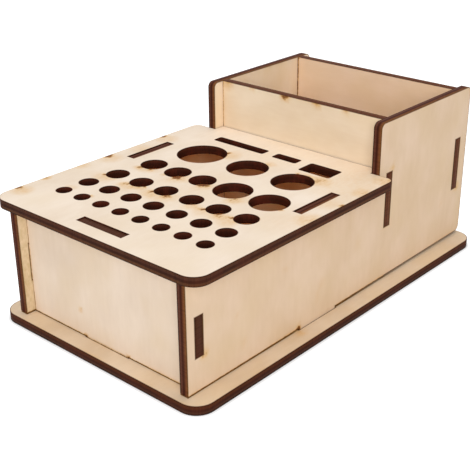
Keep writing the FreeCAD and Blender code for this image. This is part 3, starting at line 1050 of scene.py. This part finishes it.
@dataclass
class Studio:
    """A white sweep under soft light that comes from beside the camera."""

    floor_side: float = 40.0
    floor_white: str = "#E6E6E6"
    floor_roughness: float = 0.9
    sweep: tuple[float, ...] = (0.6, 1.4, 0.6, 0.7)
    contact_reach: float = 2.5 * MM
    contact_power: float = 2.0
    ambient: float = 0.44
    lamps: tuple[Softbox, ...] = (
        Softbox("key_softbox", (0.85, -0.95, 0.66), (0.0, 0.0, 0.04), side=0.8, power=10.0),
        Softbox("overhead_softbox", (0.0, -0.1, 1.5), (0.0, 0.0, 0.0), side=1.2, power=9.6),
    )

    def build(self) -> None:
        """Lays the floor, hangs the lamps and lights the world."""
        self.lay_floor()
        for lamp in self.lamps:
            lamp.hang()
        self.light_world()

    def seen_directly(self, tree: bpy.types.NodeTree) -> bpy.types.NodeSocket:
        """Adds a factor that is 1 where a ray from the camera, a gloss or a glass arrives.

        Args:
            tree: the node tree that takes the nodes.

        Returns:
            The factor's socket.
        """
        path = add_node(tree, "ShaderNodeLightPath")
        seen = path.outputs["Is Camera Ray"]
        for kind in ("Is Glossy Ray", "Is Transmission Ray"):
            seen = add_node(tree, "ShaderNodeMath", {"operation": "MAXIMUM"},
                            {0: seen, 1: path.outputs[kind]}).outputs[0]
        return seen

    def lay_floor(self) -> None:
        """Lays a matt white floor that reads as white, keeps the object's shadow and adds a painted contact
        shadow at its foot.
        """
        mesh = bpy.data.meshes.new("studio_floor")
        shape = bmesh.new()
        bmesh.ops.create_grid(shape, x_segments=1, y_segments=1, size=self.floor_side / 2)
        shape.to_mesh(mesh)
        shape.free()
        floor = bpy.data.objects.new("studio_floor", mesh)
        bpy.context.scene.collection.objects.link(floor)
        material = bpy.data.materials.new("matt_white_paper")
        material.use_nodes = True
        tree = material.node_tree
        shader = tree.nodes["Principled BSDF"]
        shader.inputs["Base Color"].default_value = linear(self.floor_white)
        shader.inputs["Roughness"].default_value = self.floor_roughness
        shader.inputs["Specular IOR Level"].default_value = 0.0
        shader.inputs["Emission Color"].default_value = linear(WHITE)
        # The glow fades where the object closes in the floor's sky: a painted contact shadow along the base's
        # foot.
        open_air = add_node(tree, "ShaderNodeAmbientOcclusion", {"Distance": self.contact_reach})
        open_sky = add_node(tree, "ShaderNodeMath", {"operation": "POWER", 1: self.contact_power},
                            {0: open_air.outputs["AO"]})
        place = add_node(tree, "ShaderNodeTexCoord")
        away = add_node(tree, "ShaderNodeVectorMath", {"operation": "LENGTH"}, {0: place.outputs["Object"]})
        lift = add_node(tree, "ShaderNodeMapRange", dict(zip(RANGE, self.sweep)), {0: away.outputs["Value"]})
        lifted = add_node(tree, "ShaderNodeMath", {"operation": "MULTIPLY"},
                          {0: open_sky.outputs[0], 1: lift.outputs[0]})
        glow = add_node(tree, "ShaderNodeMath", {"operation": "MULTIPLY"},
                        {0: self.seen_directly(tree), 1: lifted.outputs[0]})
        tree.links.new(glow.outputs[0], shader.inputs["Emission Strength"])
        floor.data.materials.append(material)

    def light_world(self) -> None:
        """Lights the object evenly from all round, before a background that reads as white."""
        world = bpy.data.worlds.new("white_studio")
        bpy.context.scene.world = world
        world.use_nodes = True
        tree = world.node_tree
        background = tree.nodes["Background"]
        background.inputs["Color"].default_value = linear(WHITE)
        strength = add_node(tree, "ShaderNodeMapRange", {"To Min": self.ambient, "To Max": 1.0},
                            {0: self.seen_directly(tree)})
        tree.links.new(strength.outputs[0], background.inputs["Strength"])


@dataclass(frozen=True)
class StudioCamera:
    """The camera, by its angles round the caddy in degrees, the point it aims at and its lens."""

    azimuth: float = 41.858
    elevation: float = 24.927
    roll: float = -0.508
    aim: tuple[float, float, float] = (11.04 * MM, -27.85 * MM, 38.99 * MM)
    distance: float = 499.47 * MM
    lens: float = 74.8
    sensor: float = 36.0

    def place(self) -> None:
        """Stands the camera in the scene and takes the picture from it."""
        turn, rise = math.radians(self.azimuth), math.radians(self.elevation)
        back = Vector((math.sin(turn) * math.cos(rise), -math.cos(turn) * math.cos(rise), math.sin(rise)))
        camera = bpy.data.cameras.new("studio_camera")
        camera.lens = self.lens
        camera.sensor_width = self.sensor
        holder = bpy.data.objects.new("studio_camera", camera)
        holder.rotation_mode = "QUATERNION"
        level = (-back).to_track_quat("-Z", "Y").to_matrix()
        rolled = level @ Matrix.Rotation(math.radians(self.roll), 3, "Z")
        holder.rotation_quaternion = rolled.to_quaternion()
        holder.location = Vector(self.aim) + back * self.distance
        bpy.context.scene.collection.objects.link(holder)
        bpy.context.scene.camera = holder


# Cut edges: the floor's, the deck's, those of its holes, the side walls', the front panel's and the bin's.
BASE_EDGE = LaserCharredEdge("base", Lie.FLAT, (
    (0.00, "#0E0705"), (0.08, "#1E100A"), (0.16, "#432A1D"), (0.32, "#513123"), (0.38, "#3C1E13"),
    (0.58, "#3D1B0E"), (0.64, "#4A2514"), (0.86, "#532B15"), (0.94, "#431F0D"), (1.00, "#2C1408")))
DECK_EDGE = LaserCharredEdge("deck", Lie.FLAT, (
    (0.00, "#150A05"), (0.06, "#2C180C"), (0.13, "#5A3820"), (0.32, "#583622"), (0.38, "#3A1E11"),
    (0.58, "#371A0E"), (0.66, "#4B2D21"), (0.88, "#513121"), (0.95, "#371C0E"), (1.00, "#2A1207")))
# The holes' walls char like the deck's edge, and their layers are set darker as painted shade inside the
# holes.
HOLE_EDGE = LaserCharredEdge("holes", Lie.FLAT, (
    (0.00, "#2E150B"), (0.15, "#4A2113"), (0.40, "#3B1A10"), (0.60, "#3D1B10"), (0.85, "#4C2416"),
    (1.00, "#1C0C07")), ember="#66291A", patch=7 * MM)
WALL_EDGE = LaserCharredEdge("side_walls", Lie.SIDEWAYS, (
    (0.00, "#1A0B05"), (0.08, "#422216"), (0.16, "#5F382A"), (0.32, "#633B2E"), (0.38, "#442015"),
    (0.56, "#3F1B0E"), (0.64, "#5C311D"), (0.80, "#75462A"), (0.92, "#754B26"), (1.00, "#66461E")))
FRONT_PANEL_EDGE = LaserCharredEdge("front_panel", Lie.CROSSWAYS, (
    (0.00, "#241208"), (0.08, "#432413"), (0.30, "#52301F"), (0.40, "#4E2C1E"), (0.60, "#523021"),
    (0.92, "#452513"), (1.00, "#261408")))
BIN_EDGE = LaserCharredEdge("bin", Lie.CROSSWAYS, (
    (0.00, "#2C170B"), (0.08, "#57311C"), (0.28, "#663C27"), (0.36, "#5A3320"), (0.54, "#58301F"),
    (0.62, "#74462D"), (0.70, "#6A3F27"), (0.92, "#64391F"), (1.00, "#341C0C")))

# Where the beam lingered on the right wall, on the bin's front and on the deck.
RIGHT_WALL_MARKS = (
    Smear(41, 67.6, 3, 0.6), Smear(110.5, 36, 3.5, 0.8), Smear(-102.4, 22.6, 3.2, 0.85),
    Smear(-35.4, 5.8, 2.4, 1.4), Smear(-76.1, 16.6, 3, 0.25), Smear(-17.3, 23.7, 2, 0.25, 2.5),
    Smear(-20.3, 17.6, 2, 0.2, 2.5), Smear(12.6, 34.8, 2, 0.2, 2.5), Smear(-46.8, 42.3, 2.5, 0.18),
    Smear(-80.7, 32.3, 2.5, 0.2), Smear(94.5, 30.6, 2.5, 0.2))
BIN_FRONT_MARKS = (
    Smear(-8.6, 94, 4, 1.2), Smear(13.2, 94, 3.4, 0.9), Smear(-50.4, 93.5, 5, 0.6),
    Smear(32.1, 94, 2.6, 0.7), Smear(-32, 94, 2.4, 0.6))
DECK_MARKS = (
    Smear(-68.4, 0, 2.5, 1.6), Smear(-63, -2, 8, 0.4), Smear(-62.2, -22.3, 8, 0.35),
    Smear(-68.4, -41.6, 4, 1.2), Smear(-64, -43, 8, 0.4), Smear(-68.4, -60.5, 6, 0.5),
    Smear(-68.4, -84, 4, 1.0), Smear(-68.4, -100.8, 3, 1.0), Smear(-63.5, -102, 7, 0.55),
    Smear(66.5, 4.2, 7, 0.35), Smear(68.4, -15.2, 2.5, 1.0), Smear(61, -18, 8, 0.35),
    Smear(67, -38.5, 9, 0.4), Smear(66, 25, 8, 0.35), Smear(60, 16, 36, 0.28), Smear(5, 32, 34, 0.14),
    Smear(62, -45, 18, 0.16), Smear(0, -45, 30, 0.11))


def caddy_sheets() -> list[PlywoodSheet]:
    """Lists the caddy's sheets in the order they are put together.

    Returns:
        The seven sheets, each with its finishes.
    """
    # Each sheet's pale, tan and ochre tones are partly its own and partly painted light: the left wall and
    # the rear wall, which face into the bin, are paler to light it, and the right wall is darker.
    return [
        # The base carries painted shade under the feet of the five walls.
        BasePlate("base_plate", Lie.FLAT,
                  BasswoodVeneer("base", Grain.ALONG_Y, 0.0, "#E5D0B6", "#D7BFA2", "#DDBE92",
                                 painted_shade_feet=("left_side_wall", "right_side_wall", "front_panel",
                                             "bin_front_wall", "rear_wall"),
                                 char_width=0.35 * MM),
                  BASE_EDGE, marks=(Smear(61.5, -37.2, 4, 0.6),), mesh_step=3 * MM),
        # On the left wall, the long smear near the front of its inner face and its olive haze paint the shade
        # in the recess under the deck beside the front panel. Near its cuts the haze is the beam's own.
        SideWall("left_side_wall", Lie.SIDEWAYS,
                 BasswoodVeneer("left_wall", Grain.ALONG_Z, 0.4, "#F8E4CC", "#F0D8B9", "#EDD2A6",
                                haze="#AF944A", char_width=0.42 * MM),
                 WALL_EDGE, marks=(Smear(-110.6, 33, 9, 0.45, stretch=8.0, through=False),),
                 mesh_step=3 * MM),
        SideWall("right_side_wall", Lie.SIDEWAYS,
                 BasswoodVeneer("right_wall", Grain.ALONG_Z, 0.9, "#EACFB4", "#DFC2A1", "#E0C49D",
                                char_width=0.42 * MM),
                 WALL_EDGE, marks=RIGHT_WALL_MARKS, mesh_step=2.5 * MM),
        CrossPanel("front_panel", Lie.CROSSWAYS,
                   BasswoodVeneer("front_panel", Grain.ALONG_Z, 1.3, "#F0DDC9", "#E4CFB9", "#E6CFB0"),
                   FRONT_PANEL_EDGE,
                   marks=(Smear(-17.5, 18.7, 2, 0.6), Smear(-15.2, 5.3, 1.5, 1.3),
                          Smear(15.2, 5.3, 1.5, 1.3)),
                   top_tab=True, mesh_step=1.5 * MM),
        CrossPanel("bin_front_wall", Lie.CROSSWAYS,
                   BasswoodVeneer("bin_front", Grain.ALONG_X, 1.8, "#F2DFC5", "#E7D0B2", "#E8CFAA"),
                   BIN_EDGE, marks=BIN_FRONT_MARKS, mesh_step=2 * MM),
        # The rear wall's band of painted shade is wider, to darken its foot and the bin's inner corners.
        CrossPanel("rear_wall", Lie.CROSSWAYS,
                   BasswoodVeneer("rear_wall", Grain.ALONG_X, 2.2, "#F8DCC2", "#EECFAF", "#EACBA2"),
                   BIN_EDGE, scorch_bands=(0.25 * MM, 0.5 * MM, 0.6 * MM, 0.75 * MM), joint_shade_width=0.8 * MM),
        ToolPlate("tool_plate", Lie.FLAT,
                  BasswoodVeneer("tool_plate", Grain.ALONG_Y, 2.7, "#F2E2D0", "#E7D4BE", "#EBD8BE",
                                 char_width=0.18 * MM, haze_width=0.75 * MM),
                  DECK_EDGE, HOLE_EDGE, body="tool_plate", scorch_bands=(0.25 * MM, 0.5 * MM),
                  marks=DECK_MARKS, mesh_step=1.4 * MM),
    ]


def main() -> None:
    """Builds the caddy, the studio and the camera, and reports each piece."""
    logging.basicConfig(level=logging.INFO, format="%(name)s: %(message)s")
    bpy.context.scene.view_settings.view_transform = "Standard"
    for sheet in caddy_sheets():
        piece = sheet.build()
        sheet.dress(piece)
        LOG.info("%s on %s: %d faces", piece.name, sheet.body, len(piece.data.polygons))
    Studio().build()
    StudioCamera().place()


if __name__ == "__main__":
    main()
